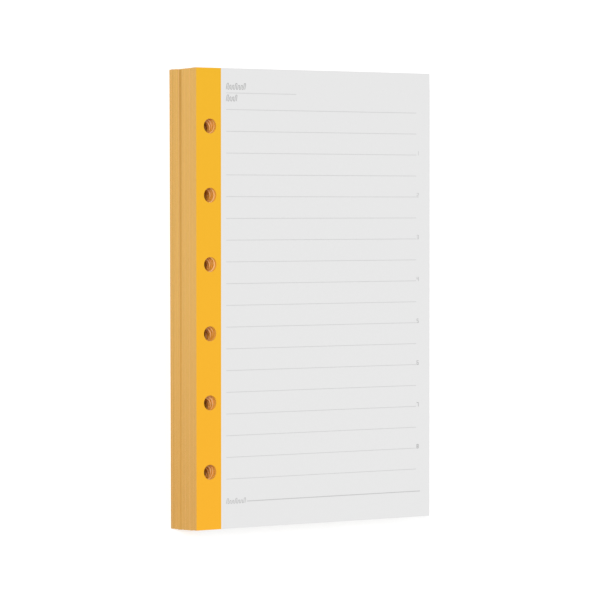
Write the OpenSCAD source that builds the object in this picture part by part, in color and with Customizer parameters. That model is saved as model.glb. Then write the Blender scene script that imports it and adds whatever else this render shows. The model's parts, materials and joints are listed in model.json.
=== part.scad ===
// Planner refill paper: two packs of loose, six-hole ruled sheets, one pack lying on the other.
// The sheets lie flat on their back. +Z points out of the front sheet, +Y to the head of the
// page and +X away from the punched edge. The origin is at the centre of the underside.

/* [Sheet] */
// Width of a sheet, from the punched edge to the fore edge
sheet_w = 108; // [95:1:160]
// Height of a sheet, from the foot to the head
sheet_h = 169.5; // [150:0.5:260]

/* [Packs] */
// Thickness of the front pack
front_pack_t = 10.3; // [3:0.1:25]
// Thickness of the rear pack
rear_pack_t = 6.5; // [3:0.1:25]
// How far the rear pack stands out past the front pack at the punched edge
pack_step_x = 0.3; // [0.1:0.05:1]
// How far the rear pack sits nearer the head than the front pack
pack_step_y = 0.3; // [0.1:0.05:1]

/* [Ring holes] */
// Radius of a ring hole
hole_r = 2.75; // [2:0.05:3.5]
// Distance between neighbouring ring holes
hole_pitch = 25.4; // [18:0.1:27]
// Number of ring holes
hole_count = 6; // [2:1:6]
// Distance from the front pack's punched edge to the hole centres
hole_inset = 6.1; // [4.5:0.1:7]

/* [Print] */
// Height that a printed field stands above the paper
ink_t = 0.05; // [0.03:0.01:0.1]
// Width of the coloured margin along the punched edge
margin_w = 11; // [10:0.1:18]
// Distance from the coloured margin to the ruling
margin_gap = 2.3; // [0.5:0.1:6]
// Distance from the head of the sheet to the heading rule
heading_drop = 9.1; // [6:0.1:12]
// Length of the heading rule
heading_len = 31.7; // [20:0.1:60]
// Thickness of the heading rule
heading_rule_w = 0.2; // [0.1:0.05:0.6]
// Distance from the head of the sheet to the first writing line
first_line_drop = 15.2; // [13:0.1:24]
// Distance between neighbouring writing lines
line_pitch = 8; // [5:0.1:12]
// Thickness of a writing line
line_w = 0.2; // [0.1:0.05:0.6]
// Distance from the ends of the writing lines to the fore edge
fore_gap = 6.5; // [5.5:0.1:12]
// Distance from the foot of the sheet to the foot rule
foot_rise = 9.8; // [6:0.1:16]
// Thickness of the foot rule
foot_rule_w = 0.3; // [0.1:0.05:0.8]
// Distance from the end of the foot rule to the fore edge
foot_fore_gap = 4.6; // [3:0.1:12]

/* [Labels] */
// Height of a low wave in the labels at the head
label_h = 1.6; // [1.2:0.1:2]
// Height of a low wave in the label at the foot
foot_label_h = 1.2; // [1:0.1:1.6]
// Extra height of a tall wave
label_rise = 0.7; // [0:0.1:1]
// Number of waves from one tall wave to the next
tall_every = 3; // [1:1:5]
// Radius of a turn of the wave
turn_r = 0.32; // [0.25:0.01:0.4]
// Thickness of the printed stroke
stroke_w = 0.2; // [0.1:0.02:0.3]
// Lean of the strokes, as a share of their height
stroke_lean = 0.2; // [0:0.05:0.3]
// Number of waves in the label above the heading rule
upper_label_waves = 7; // [2:1:10]
// Number of waves in the label below the heading rule
lower_label_waves = 4; // [2:1:10]
// Number of waves in the label at the foot
foot_label_waves = 7; // [2:1:10]
// Clear space between the heading rule and the label above it
upper_label_gap = 1.3; // [0.3:0.1:2]
// Clear space between the heading rule and the label below it
lower_label_gap = 0.7; // [0.3:0.1:1]
// Clear space between the label at the foot and the foot rule
foot_label_gap = 0.9; // [0.3:0.1:2]

/* [Line numbers] */
// Number of writing lines from one numbered line to the next
number_every = 2; // [1:1:4]
// Number of writing lines above the first numbered line
number_skip = 2; // [0:1:6]
// Clear space between a writing line's end and its number, and between two digits
number_gap = 0.3; // [0.1:0.05:0.5]
// Width of a digit
number_w = 0.9; // [0.7:0.05:1.2]
// Height of a digit
number_h = 1.6; // [1:0.1:2]
// Thickness of the bars of a digit
number_bar = 0.2; // [0.1:0.02:0.3]

/* [Hidden] */
$fn = 96;

// Height of the front face, where the print lies
stack_t = rear_pack_t + front_pack_t;

// Edges of the packs. Both packs have one size, and their shared box is centred on the origin.
rear_left = -(sheet_w + pack_step_x - ink_t) / 2;
front_left = rear_left + pack_step_x;
front_right = front_left + sheet_w;
front_foot = -(sheet_h + pack_step_y) / 2;
front_head = front_foot + sheet_h;
rear_foot = front_foot + pack_step_y;

// One ring passes through both packs, so the holes share their axes
hole_x = front_left + hole_inset;
hole_mid_y = front_foot + sheet_h / 2;
first_hole_y = hole_mid_y - hole_pitch * (hole_count - 1) / 2;

// How far the hole cutters reach past a face
cut_over = 1;

// Places of the print on the front sheet
print_left = front_left + margin_w + margin_gap;
lines_right = front_right - fore_gap;
heading_y = front_head - heading_drop;
first_line_y = front_head - first_line_drop;
foot_y = front_foot + foot_rise;
line_count = floor((first_line_y - foot_y - line_pitch) / line_pitch) + 1;
foot_rule_left = print_left + label_width(foot_label_waves) + foot_label_gap;
upper_label_low = heading_y + upper_label_gap;
lower_label_low = heading_y - lower_label_gap - label_rise - label_h;
foot_label_low = foot_y - foot_label_h / 2;
number_left = lines_right + number_gap;

// Angle between two points on a turn of a label's wave
turn_step = 30;

// Bars of the digits 0 to 9: head, middle, foot, upper left, upper right, lower left, lower right
DIGIT_BARS = [
    [1, 0, 1, 1, 1, 1, 1],
    [0, 0, 0, 0, 1, 0, 1],
    [1, 1, 1, 0, 1, 1, 0],
    [1, 1, 1, 0, 1, 0, 1],
    [0, 1, 0, 1, 1, 0, 1],
    [1, 1, 1, 1, 0, 0, 1],
    [1, 1, 1, 1, 0, 1, 1],
    [1, 0, 0, 0, 1, 0, 1],
    [1, 1, 1, 1, 1, 1, 1],
    [1, 1, 1, 1, 1, 0, 1]
];

// Left, low, width and height of each of those bars
BAR_BOXES = [
    [0, number_h - number_bar, number_w, number_bar],
    [0, (number_h - number_bar) / 2, number_w, number_bar],
    [0, 0, number_w, number_bar],
    [0, number_h / 2, number_bar, number_h / 2],
    [number_w - number_bar, number_h / 2, number_bar, number_h / 2],
    [0, 0, number_bar, number_h / 2],
    [number_w - number_bar, 0, number_bar, number_h / 2]
];

paper_colour = "#eae9e6";
margin_colour = "#f7b930";
spine_colour = "#dfae60";
line_colour = "#cfcfcf";
rule_colour = "#c5c5c5";
label_colour = "#bdbdbd";

// Length of a label's wave: each wave has an upper and a lower turn, and the last has no lower one
function label_width(waves) = (4 * waves - 2) * turn_r;

// Height of one wave of a label
function wave_height(index, low_height) = low_height + (index % tall_every == 0 ? label_rise : 0);

// Points along one turn of a wave, at a radius from its centre
function turn(centre, radius, from, to) = [
    for (k = [0 : abs(to - from) / turn_step])
        let (angle = from + k * sign(to - from) * turn_step)
            centre + radius * [cos(angle), sin(angle)]
];

// One side of a label's stroke, offset from its middle: positive is to the left of the pen's way
function wave_side(waves, low_height, offset) = [
    [-offset, 0],
    for (i = [0 : waves - 1])
        let (
            upper = [(4 * i + 1) * turn_r, wave_height(i, low_height) - turn_r],
            lower = [(4 * i + 3) * turn_r, turn_r]
        )
            each concat(
                turn(upper, turn_r + offset, 180, 0),
                i < waves - 1 ? turn(lower, turn_r - offset, 180, 360) : []
            ),
    [label_width(waves) + offset, 0]
];

// A list of points from last to first
function reversed(points) = [for (i = [len(points) - 1 : -1 : 0]) points[i]];

// A list of points with each one moved to the right by a share of its height
function leaning(points) = [for (p = points) [p[0] + stroke_lean * p[1], p[1]]];

// The digits of a line number
function digits(value) = value < 10 ? [value] : [floor(value / 10), value % 10];

// Height of a writing line, counted from the head
function line_y(index) = first_line_y - index * line_pitch;

// The sheets of one pack, as one block with its lower left corner at the given place
module sheet_block(left, foot, low, thickness) {
    difference() {
        translate([left, foot, low]) cube([sheet_w, sheet_h, thickness]);
        ring_holes(low, thickness);
    }
}

// The ring holes, from just below one height to just above another
module ring_holes(low, thickness) {
    for (i = [0 : hole_count - 1])
        translate([hole_x, first_hole_y + i * hole_pitch, low - cut_over])
            cylinder(r = hole_r, h = thickness + 2 * cut_over);
}

// A printed rectangle on the front sheet
module print_field(left, low, width, height) {
    translate([left, low, stack_t]) cube([width, height, ink_t]);
}

// A printed rule, centred on its height
module print_rule(left, right, y, width) {
    print_field(left, y - width / 2, right - left, width);
}

// A label as a waving pen line that spells nothing
module label_wave(left, low, waves, low_height) {
    outline = concat(
        wave_side(waves, low_height, stroke_w / 2),
        reversed(wave_side(waves, low_height, -stroke_w / 2))
    );
    translate([left, low, stack_t]) linear_extrude(ink_t) polygon(leaning(outline));
}

// A digit made of straight bars
module bar_digit(value, left, low) {
    translate([left, low, stack_t])
        linear_extrude(ink_t)
            for (i = [0 : len(BAR_BOXES) - 1])
                if (DIGIT_BARS[value][i] == 1)
                    translate([BAR_BOXES[i][0], BAR_BOXES[i][1]])
                        square([BAR_BOXES[i][2], BAR_BOXES[i][3]]);
}

// The number beside a writing line, on the line's lower edge
module line_number(value, low) {
    shown = digits(value);
    for (i = [0 : len(shown) - 1])
        bar_digit(shown[i], number_left + i * (number_w + number_gap), low);
}

// The colour that the sheets' margins give to one pack's punched edge
module spine_tint(left, foot, low, thickness) {
    translate([left - ink_t, foot, low]) cube([ink_t, sheet_h, thickness]);
}

module front_pack() {
    color(paper_colour) sheet_block(front_left, front_foot, rear_pack_t, front_pack_t);
}

module rear_pack() {
    color(paper_colour) sheet_block(rear_left, rear_foot, 0, rear_pack_t);
}

module front_spine_tint() {
    color(spine_colour) spine_tint(front_left, front_foot, rear_pack_t, front_pack_t);
}

module rear_spine_tint() {
    color(spine_colour) spine_tint(rear_left, rear_foot, 0, rear_pack_t);
}

module margin_field() {
    color(margin_colour) difference() {
        print_field(front_left, front_foot, margin_w, sheet_h);
        ring_holes(stack_t, ink_t);
    }
}

module writing_lines() {
    color(line_colour)
        for (i = [0 : line_count - 1])
            print_rule(print_left, lines_right, line_y(i), line_w);
}

module heading_rule() {
    color(rule_colour)
        print_rule(print_left, print_left + heading_len, heading_y, heading_rule_w);
}

module foot_rule() {
    color(rule_colour)
        print_rule(foot_rule_left, front_right - foot_fore_gap, foot_y, foot_rule_w);
}

module label_marks() {
    color(label_colour) {
        label_wave(print_left, upper_label_low, upper_label_waves, label_h);
        label_wave(print_left, lower_label_low, lower_label_waves, label_h);
        label_wave(print_left, foot_label_low, foot_label_waves, foot_label_h);
    }
}

module line_numbers() {
    color(label_colour)
        for (i = [number_skip : number_every : line_count - 1])
            line_number(1 + (i - number_skip) / number_every, line_y(i) - line_w / 2);
}

front_pack();
rear_pack();
front_spine_tint();
rear_spine_tint();
margin_field();
writing_lines();
heading_rule();
foot_rule();
label_marks();
line_numbers();
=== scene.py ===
import json
import math
import random

import bpy
from mathutils import Matrix, Vector


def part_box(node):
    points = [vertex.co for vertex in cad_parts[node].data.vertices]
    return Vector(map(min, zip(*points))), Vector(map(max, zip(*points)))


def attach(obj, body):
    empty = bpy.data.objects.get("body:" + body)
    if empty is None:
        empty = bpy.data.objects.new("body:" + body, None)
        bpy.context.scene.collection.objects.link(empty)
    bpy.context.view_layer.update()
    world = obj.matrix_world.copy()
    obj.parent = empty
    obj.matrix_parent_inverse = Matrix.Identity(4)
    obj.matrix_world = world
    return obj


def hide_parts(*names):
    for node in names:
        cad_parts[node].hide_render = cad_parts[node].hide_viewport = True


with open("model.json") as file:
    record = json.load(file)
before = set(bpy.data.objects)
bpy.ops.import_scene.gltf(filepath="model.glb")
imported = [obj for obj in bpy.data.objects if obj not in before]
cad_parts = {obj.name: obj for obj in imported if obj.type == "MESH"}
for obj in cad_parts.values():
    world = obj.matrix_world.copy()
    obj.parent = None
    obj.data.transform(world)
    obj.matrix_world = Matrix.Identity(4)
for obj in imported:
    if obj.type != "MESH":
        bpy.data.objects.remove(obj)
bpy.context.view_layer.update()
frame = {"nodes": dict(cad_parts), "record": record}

MM = 0.001

# The camera: where it looks, from how far, and how it is turned
AIM = Vector((-7.06, -1.11, 16.8)) * MM
CAMERA_DISTANCE = 1343.9 * MM
CAMERA_YAW = math.radians(35.88)
CAMERA_PITCH = math.radians(1.49)
CAMERA_LENS = 216.07
CAMERA_SENSOR = 36
CAMERA_CLIP_END = 20

# The sheets: from one to the next, the share of that which is paper, and the sides of a hole
SHEET_PITCH = 0.1 * MM
PAPER_SHARE = 0.94
SIDES_PER_CORNER = 6
HOLE_SIDES = 4 * SIDES_PER_CORNER

# A hole's first side is the one towards the foot and the punched edge
FIRST_SIDE = math.radians(-135)

# How far neighbouring sheets lie out of line, and how many of them share a place
EDGE_REACH = 0.08 * MM
EDGE_LIFT = (5, 14)
SHEET_REACH = 0.02 * MM
HOLE_REACH = 0.55 * MM
HOLE_LIFT = (8, 24)
TOP_LIFT_SHARE = 0.2

# How deep a ledge lies in the ring holes, and how far the front pack's holes below it are out of line
STEP_DEPTH = 3.3 * MM
STEP_SHIFT = Vector((-0.3, -0.5)) * MM

# How the packs have slipped, at the seam and in the rear pack, and the rear pack's turn
FRONT_SLIP = 0.38 * MM
REAR_SLIP = Vector((0.1, -0.7)) * MM
REAR_TURN = math.radians(0.18)

# The slot between the packs: how many sheets of each pack stand back, and how far at the head and foot
SLOT_SHEETS = 6
SLOT_HEAD = 0.7 * MM
SLOT_FOOT = 0.15 * MM

# The shade painted into the colour of the edges in the slot: how much darker it is at the head,
# how far from the seam it fades and ends, and how far it reaches in from the punched edge
SHADE_HEAD = 0.08
SHADE_FULL = 0.5 * MM
SHADE_END = 1.5 * MM
SHADE_REACH = 3 * MM

# Material places on a piece made of sheets
PAGE, MARGIN, CUT_EDGE, TINTED_EDGE, HOLE_WALL, HOLE_LEDGE = range(6)

# Colours as they show, from 0 to 255
PAGE_COLOUR = (230, 230, 230)
MARGIN_HEAD_COLOUR = (242, 184, 41)
MARGIN_FOOT_COLOUR = (249, 180, 43)
CUT_COLOUR = (228, 226, 221)
SPINE_HEAD_COLOUR = (222, 177, 95)
SPINE_FOOT_COLOUR = (214, 165, 85)
HOLE_COLOUR = (236, 167, 46)
LEDGE_COLOUR = (250, 207, 150)
LINE_COLOUR = (209, 209, 209)
RULE_COLOUR = (199, 199, 199)
LABEL_HEAD_COLOUR = (170, 170, 170)
LABEL_FOOT_COLOUR = (187, 187, 187)
NUMBER_HEAD_COLOUR = (214, 214, 214)
NUMBER_FOOT_COLOUR = (158, 158, 158)

# How matt the paper is on its face and on its cut edges
FACE_ROUGHNESS = 0.85
FACE_GLOSS = 0.2
EDGE_ROUGHNESS = 0.9
EDGE_GLOSS = 0.15

# Paper fibres and the specks in ink: how fine they are, and how high the fibres stand
FIBRE_SCALE = 9000
SPECK_SCALE = 14000
FIBRE_BUMP = 0.02
FIBRE_HEIGHT = 0.02 * MM

# Bands of tone along the cut edges, flat because a lift of sheets is long and thin
BAND_STRETCH = (1.5, 1.5, 1000)
BAND_SCALE = 0.75

# Most values of a noise lie between these
NOISE_LOW = 0.3
NOISE_HIGH = 0.7

# The floor, the light from all sides, and the two lamps
FLOOR_SIZE = 6
FLOOR_DROP = 0.02 * MM
FLOOR_DIFFUSE = (0.8, 0.8, 0.8, 1)
FLOOR_GLOW = 0.42
WHITE = (1, 1, 1, 1)
WORLD_LIGHT = 0.6
KEY_POWER = 73
KEY_SIZE = 1.4
KEY_PLACE = Vector((-2.62, 0.96, 2.89))
FILL_POWER = 1.8
FILL_SIZE = 0.45
FILL_PLACE = Vector((0.75, -0.35, 0.7))


# Measures from the CAD part

holes = sorted(
    (mount for mount in frame["record"]["mounts"] if mount["kind"] == "bore"),
    key=lambda mount: mount["pos_m"][1],
)
hole_radius = holes[0]["dims"]["r_mm"] * MM
margin_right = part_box("margin_field")[1].x
front_low, front_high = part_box("front_pack")
rear_low, rear_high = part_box("rear_pack")
seam_height = front_low.z
page_middle = 0


# Camera

def make_camera():
    """Looks at the front sheet from the side of its punched edge, with the head of the page up."""
    back = Vector((
        -math.sin(CAMERA_YAW) * math.cos(CAMERA_PITCH),
        math.sin(CAMERA_PITCH),
        math.cos(CAMERA_YAW) * math.cos(CAMERA_PITCH),
    ))
    right = Vector((math.cos(CAMERA_YAW), 0, math.sin(CAMERA_YAW)))
    up = back.cross(right)
    camera = bpy.data.objects.new("camera", bpy.data.cameras.new("camera"))
    bpy.context.scene.collection.objects.link(camera)
    turn = Matrix((right, up, back)).transposed().to_4x4()
    camera.matrix_world = Matrix.Translation(AIM + back * CAMERA_DISTANCE) @ turn
    camera.data.lens = CAMERA_LENS
    camera.data.sensor_width = CAMERA_SENSOR
    camera.data.clip_end = CAMERA_CLIP_END
    bpy.context.scene.camera = camera


make_camera()


# Nodes of a material or of the world

def feed(tree, value, socket):
    """Gives a socket a fixed value, or links another socket to it."""
    if isinstance(value, bpy.types.NodeSocket):
        tree.links.new(value, socket)
    else:
        socket.default_value = value


def add(tree, kind, **settings):
    """Adds a node. Each setting is one of the node's own, or else what feeds its input of that name."""
    node = tree.nodes.new(kind)
    for name, value in settings.items():
        if hasattr(node, name):
            setattr(node, name, value)
        else:
            feed(tree, value, node.inputs[name])
    return node


def map_range(tree, source, start, end, low, high):
    """Turns a value between start and end into one between low and high."""
    ends = {"From Min": start, "From Max": end, "To Min": low, "To Max": high}
    return add(tree, "ShaderNodeMapRange", Value=source, **ends).outputs["Result"]


def math_node(tree, operation, first, second):
    node = add(tree, "ShaderNodeMath", operation=operation)
    feed(tree, first, node.inputs[0])
    feed(tree, second, node.inputs[1])
    return node.outputs["Value"]


# Materials

def linear(colour):
    """Turns a colour from 0 to 255 into the linear values that a shader takes."""
    def channel(value):
        share = value / 255
        return share / 12.92 if share <= 0.04045 else ((share + 0.055) / 1.055) ** 2.4
    return tuple(channel(value) for value in colour) + (1,)


def new_material(name, roughness, gloss):
    """A matt material, its nodes and its shader."""
    material = bpy.data.materials.new(name)
    material.use_nodes = True
    tree = material.node_tree
    shader = tree.nodes["Principled BSDF"]
    shader.inputs["Roughness"].default_value = roughness
    shader.inputs["Specular IOR Level"].default_value = gloss
    return material, tree, shader


def place_parts(tree):
    """The place on the object as a vector, and its separate parts."""
    place = add(tree, "ShaderNodeTexCoord").outputs["Object"]
    return place, add(tree, "ShaderNodeSeparateXYZ", Vector=place).outputs


def page_colour(tree, up, top, head_colour, foot_colour):
    """One colour, or one that turns from the foot's at the foot to the head's at top and above."""
    if foot_colour is None:
        return linear(head_colour)[:3]
    share = map_range(tree, up, front_low.y, top, 0, 1)
    ends = {"A": linear(foot_colour), "B": linear(head_colour)}
    return add(tree, "ShaderNodeMix", data_type="RGBA", Factor=share, **ends).outputs["Result"]


def use_colour(tree, shader, colour, tone):
    """Gives the shader a colour that is made lighter or darker by a tone."""
    toned = add(tree, "ShaderNodeVectorMath", operation="SCALE", Vector=colour, Scale=tone)
    tree.links.new(toned.outputs["Vector"], shader.inputs["Base Color"])


def paper(name, colour, foot_colour=None, mottle=0.012, mottle_scale=FIBRE_SCALE):
    """Matt uncoated paper or ink on paper, with fine fibres in its colour and its surface."""
    material, tree, shader = new_material(name, FACE_ROUGHNESS, FACE_GLOSS)
    place, parts = place_parts(tree)
    fibres = add(tree, "ShaderNodeTexNoise", Vector=place, Scale=mottle_scale, Detail=3, Roughness=0.6)
    grain = fibres.outputs["Fac"]
    tone = map_range(tree, grain, NOISE_LOW, NOISE_HIGH, 1 - mottle, 1 + mottle)
    use_colour(tree, shader, page_colour(tree, parts["Y"], front_high.y, colour, foot_colour), tone)
    relief = add(tree, "ShaderNodeBump", Strength=FIBRE_BUMP, Distance=FIBRE_HEIGHT, Height=grain)
    tree.links.new(relief.outputs["Normal"], shader.inputs["Normal"])
    return material


def painted_slot_shade(tree, parts):
    """Painted shade for the slot between the packs: one away from the slot, and less in it, most of all
    at the head.
    """
    from_seam = math_node(tree, "ABSOLUTE", math_node(tree, "SUBTRACT", parts["Z"], seam_height), 0)
    near_seam = map_range(tree, from_seam, SHADE_FULL, SHADE_END, 1, 0)
    near_edge = map_range(tree, parts["X"], front_low.x, front_low.x + SHADE_REACH, 1, 0)
    near = math_node(tree, "MULTIPLY", near_seam, near_edge)
    depth = map_range(tree, parts["Y"], front_low.y, front_high.y, 0, SHADE_HEAD)
    return math_node(tree, "SUBTRACT", 1, math_node(tree, "MULTIPLY", near, depth))


def edge_paper(name, spread, colour, foot_colour=None, paint_shade_in_slot=False):
    """Cut edges of sheets, whose tone changes from lift to lift and along the edge, with shade painted in
    the slot if asked.
    """
    material, tree, shader = new_material(name, EDGE_ROUGHNESS, EDGE_GLOSS)
    place, parts = place_parts(tree)
    stretched = add(tree, "ShaderNodeMapping", Vector=place, Scale=BAND_STRETCH).outputs["Vector"]
    bands = add(tree, "ShaderNodeTexNoise", Vector=stretched, Scale=BAND_SCALE, Detail=4, Roughness=0.65)
    tone = map_range(tree, bands.outputs["Fac"], NOISE_LOW, NOISE_HIGH, 1 - spread, 1 + spread)
    # Painted shade: the colour is darkened near the seam between the packs
    if paint_shade_in_slot:
        tone = math_node(tree, "MULTIPLY", tone, painted_slot_shade(tree, parts))
    use_colour(tree, shader, page_colour(tree, parts["Y"], page_middle, colour, foot_colour), tone)
    return material


page_paper = paper("page_paper", PAGE_COLOUR)
margin_ink = paper("margin_ink", MARGIN_HEAD_COLOUR, MARGIN_FOOT_COLOUR, mottle=0.03)
cut_edges = edge_paper("cut_edges", 0.03, CUT_COLOUR)
# The spine's edges carry painted shade in the slot between the packs
front_tint = edge_paper("front_tint", 0.05, SPINE_HEAD_COLOUR, SPINE_FOOT_COLOUR, paint_shade_in_slot=True)
rear_tint = edge_paper("rear_tint", 0.12, SPINE_HEAD_COLOUR, SPINE_FOOT_COLOUR, paint_shade_in_slot=True)
hole_walls = edge_paper("hole_walls", 0.12, HOLE_COLOUR)
hole_ledges = paper("hole_ledges", LEDGE_COLOUR, mottle=0.06)


# Sheets

chance = random.Random(11)


def random_offset(reach):
    return Vector((chance.uniform(-reach, reach), chance.uniform(-reach, reach)))


def lift_places(count, lift, reach):
    """One offset for each sheet from the top down, which the sheets of a lift share."""
    places = []
    while len(places) < count:
        shared = random_offset(reach if places else reach * TOP_LIFT_SHARE)
        places += [shared] * chance.randint(*lift)
    return places[:count]


def row_heights(foot, head):
    """Where the rows of a sheet meet: its foot, half way between its holes, and its head."""
    between = [
        (below["pos_m"][1] + above["pos_m"][1]) / 2 for below, above in zip(holes, holes[1:])
    ]
    return [foot] + between + [head]


def sheet_points(low, high, shift, turn, hole_places, stand_back):
    """The points of one sheet, seen from the front: punched edge, margin's edge, fore edge and holes."""
    middle = (low.y + high.y) / 2

    def placed(x, y):
        return (x + shift.x - (y - middle) * turn, y + shift.y)

    punched, margin, fore = [], [], []
    for y in row_heights(low.y, high.y):
        along = (y - low.y) / (high.y - low.y)
        back = (SLOT_FOOT + (SLOT_HEAD - SLOT_FOOT) * along) * stand_back
        punched.append(placed(low.x + back, y))
        margin.append(placed(margin_right, y))
        fore.append(placed(high.x, y))
    rings = []
    for mount, hole_place in zip(holes, hole_places):
        x, y = mount["pos_m"][:2]
        for side in range(HOLE_SIDES):
            angle = FIRST_SIDE + 2 * math.pi * side / HOLE_SIDES
            across = x + hole_place.x + hole_radius * math.cos(angle)
            along = y + hole_place.y + hole_radius * math.sin(angle)
            rings.append(placed(across, along))
    return punched + margin + fore + rings


def sheet_faces(rows, top_margin):
    """The faces of one sheet as point numbers, with the material of each. Its back follows its front."""
    line = rows + 1
    front_count = 3 * line + rows * HOLE_SIDES
    punched = range(line)
    margin = range(line, 2 * line)
    fore = range(2 * line, 3 * line)
    faces = []

    def ring(row):
        start = 3 * line + row * HOLE_SIDES
        return [start + side for side in range(HOLE_SIDES)]

    def front_and_back(points, material):
        faces.append((points, material))
        faces.append(([point + front_count for point in reversed(points)], PAGE))

    def wall(start, end, material):
        faces.append(([start + front_count, end + front_count, end, start], material))

    for row in range(rows):
        corners = [punched[row], margin[row], margin[row + 1], punched[row + 1]]
        sides = ring(row)
        for corner in range(4):
            first = corner * SIDES_PER_CORNER
            arc = [sides[(first + step) % HOLE_SIDES] for step in range(SIDES_PER_CORNER + 1)]
            front_and_back([corners[corner], corners[(corner + 1) % 4]] + arc[::-1], top_margin)
        front_and_back([margin[row], fore[row], fore[row + 1], margin[row + 1]], PAGE)
        for side in range(HOLE_SIDES):
            wall(sides[(side + 1) % HOLE_SIDES], sides[side], HOLE_WALL)
        wall(fore[row], fore[row + 1], CUT_EDGE)
        wall(punched[row + 1], punched[row], TINTED_EDGE)
    wall(punched[0], margin[0], TINTED_EDGE)
    wall(margin[0], fore[0], CUT_EDGE)
    wall(margin[rows], punched[rows], TINTED_EDGE)
    wall(fore[rows], margin[rows], CUT_EDGE)
    return faces


def make_sheets(name, low, high, slips, turn, top_margin, tinted_edges):
    """All the sheets of one pack as closed slabs in one piece.

    slips are those of its top sheet and its lowest. top_margin is the material of the top sheet's margin.
    """
    count = round((high.z - low.z) / SHEET_PITCH)
    places = lift_places(count, EDGE_LIFT, EDGE_REACH)
    hole_places = [lift_places(count, HOLE_LIFT, HOLE_REACH) for _ in holes]
    points, faces, materials = [], [], []
    for sheet in range(count):
        top = high.z - sheet * SHEET_PITCH
        bottom = top - SHEET_PITCH * PAPER_SHARE
        slip = slips[0].lerp(slips[1], sheet / (count - 1))
        shift = slip + places[sheet] + random_offset(SHEET_REACH)
        height = top - SHEET_PITCH / 2
        from_seam = abs(height - seam_height) / SHEET_PITCH
        stand_back = max(1 - from_seam / SLOT_SHEETS, 0)
        below_ledge = seam_height < height < front_high.z - STEP_DEPTH
        step = STEP_SHIFT if below_ledge else Vector((0, 0))
        rings = [places_of_hole[sheet] + step for places_of_hole in hole_places]
        flat = sheet_points(low, high, shift, turn, rings, stand_back ** 0.5)
        if sheet == 0:
            margin_material = top_margin
        # Margins of sheets in the slot take the tinted edge material, which carries the painted shade of
        # the slot
        elif stand_back:
            margin_material = TINTED_EDGE
        else:
            margin_material = HOLE_LEDGE
        first = len(points)
        points += [(x, y, top) for x, y in flat] + [(x, y, bottom) for x, y in flat]
        for face, material in sheet_faces(len(holes), margin_material):
            faces.append([point + first for point in face])
            materials.append(material)
    mesh = bpy.data.meshes.new(name)
    mesh.from_pydata(points, [], faces)
    for material in (page_paper, margin_ink, cut_edges, tinted_edges, hole_walls, hole_ledges):
        mesh.materials.append(material)
    mesh.polygons.foreach_set("material_index", materials)
    mesh.update()
    piece = bpy.data.objects.new(name, mesh)
    bpy.context.scene.collection.objects.link(piece)
    return piece


front_slips = (Vector((0, 0)), Vector((0, -FRONT_SLIP)))
front_sheets = make_sheets("front_sheets", front_low, front_high, front_slips, 0, MARGIN, front_tint)
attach(front_sheets, "root")
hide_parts("front_pack", "front_spine_tint", "margin_field")

rear_slips = (REAR_SLIP, REAR_SLIP)
rear_sheets = make_sheets(
    "rear_sheets", rear_low, rear_high, rear_slips, REAR_TURN, TINTED_EDGE, rear_tint,
)
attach(rear_sheets, "root")
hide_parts("rear_pack", "rear_spine_tint")


# Print

def ink(name, colour, foot_colour=None):
    return paper(name, colour, foot_colour, mottle=0.05, mottle_scale=SPECK_SCALE)


def ink_node(node, material):
    mesh = frame["nodes"][node].data
    mesh.materials.clear()
    mesh.materials.append(material)


line_ink = ink("line_ink", LINE_COLOUR)
ink_node("writing_lines", line_ink)
ink_node("heading_rule", line_ink)
ink_node("foot_rule", ink("rule_ink", RULE_COLOUR))
ink_node("label_marks", ink("label_ink", LABEL_HEAD_COLOUR, LABEL_FOOT_COLOUR))
ink_node("line_numbers", ink("number_ink", NUMBER_HEAD_COLOUR, NUMBER_FOOT_COLOUR))


# Floor, light and background

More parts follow.
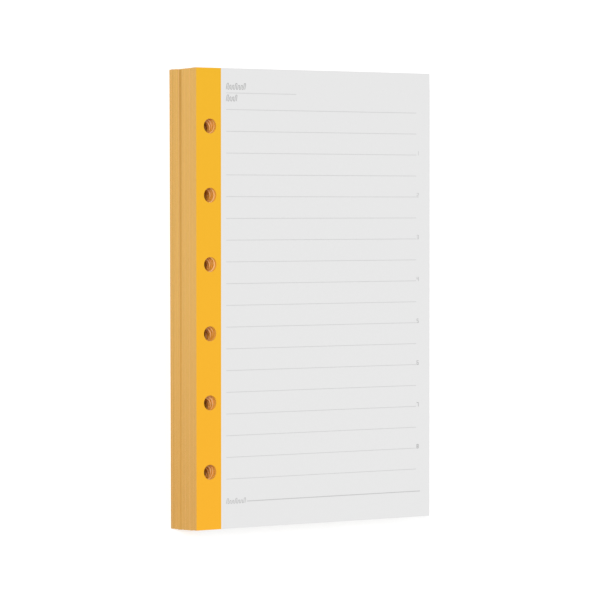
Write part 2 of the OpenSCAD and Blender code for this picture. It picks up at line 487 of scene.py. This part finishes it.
def seen_directly(tree):
    """One where the surface is seen by the camera, in a gloss or through glass, and nought otherwise."""
    path = add(tree, "ShaderNodeLightPath").outputs
    camera_or_gloss = math_node(tree, "MAXIMUM", path["Is Camera Ray"], path["Is Glossy Ray"])
    return math_node(tree, "MAXIMUM", camera_or_gloss, path["Is Transmission Ray"])


def make_floor():
    """A white floor that keeps the object's shadow."""
    mesh = bpy.data.meshes.new("floor")
    half = FLOOR_SIZE / 2
    corners = [(-half, -half), (half, -half), (half, half), (-half, half)]
    mesh.from_pydata([(x, y, -FLOOR_DROP) for x, y in corners], [], [(0, 1, 2, 3)])
    floor = bpy.data.objects.new("floor", mesh)
    bpy.context.scene.collection.objects.link(floor)
    material = bpy.data.materials.new("floor")
    material.use_nodes = True
    tree = material.node_tree
    tree.nodes.clear()
    diffuse = add(tree, "ShaderNodeBsdfDiffuse", Color=FLOOR_DIFFUSE)
    strength = math_node(tree, "MULTIPLY", seen_directly(tree), FLOOR_GLOW)
    glow = add(tree, "ShaderNodeEmission", Strength=strength)
    both = add(tree, "ShaderNodeAddShader")
    tree.links.new(diffuse.outputs["BSDF"], both.inputs[0])
    tree.links.new(glow.outputs["Emission"], both.inputs[1])
    add(tree, "ShaderNodeOutputMaterial", Surface=both.outputs["Shader"])
    mesh.materials.append(material)


def make_world():
    """Even light from all sides, with white behind the object."""
    world = bpy.data.worlds.new("world")
    world.use_nodes = True
    tree = world.node_tree
    background = tree.nodes["Background"]
    feed(tree, WHITE, background.inputs["Color"])
    strength = map_range(tree, seen_directly(tree), 0, 1, WORLD_LIGHT, 1)
    feed(tree, strength, background.inputs["Strength"])
    bpy.context.scene.world = world


def make_lamp(name, place, size, power):
    """A round lamp that points at what the camera looks at."""
    lamp = bpy.data.lights.new(name, "AREA")
    lamp.shape = "DISK"
    lamp.size = size
    lamp.energy = power
    holder = bpy.data.objects.new(name, lamp)
    holder.location = place
    holder.rotation_euler = (AIM - place).to_track_quat("-Z", "Y").to_euler()
    holder.visible_camera = False
    bpy.context.scene.collection.objects.link(holder)


make_floor()
make_world()
make_lamp("key", KEY_PLACE, KEY_SIZE, KEY_POWER)
make_lamp("fill", FILL_PLACE, FILL_SIZE, FILL_POWER)
bpy.context.scene.view_settings.view_transform = "Standard"
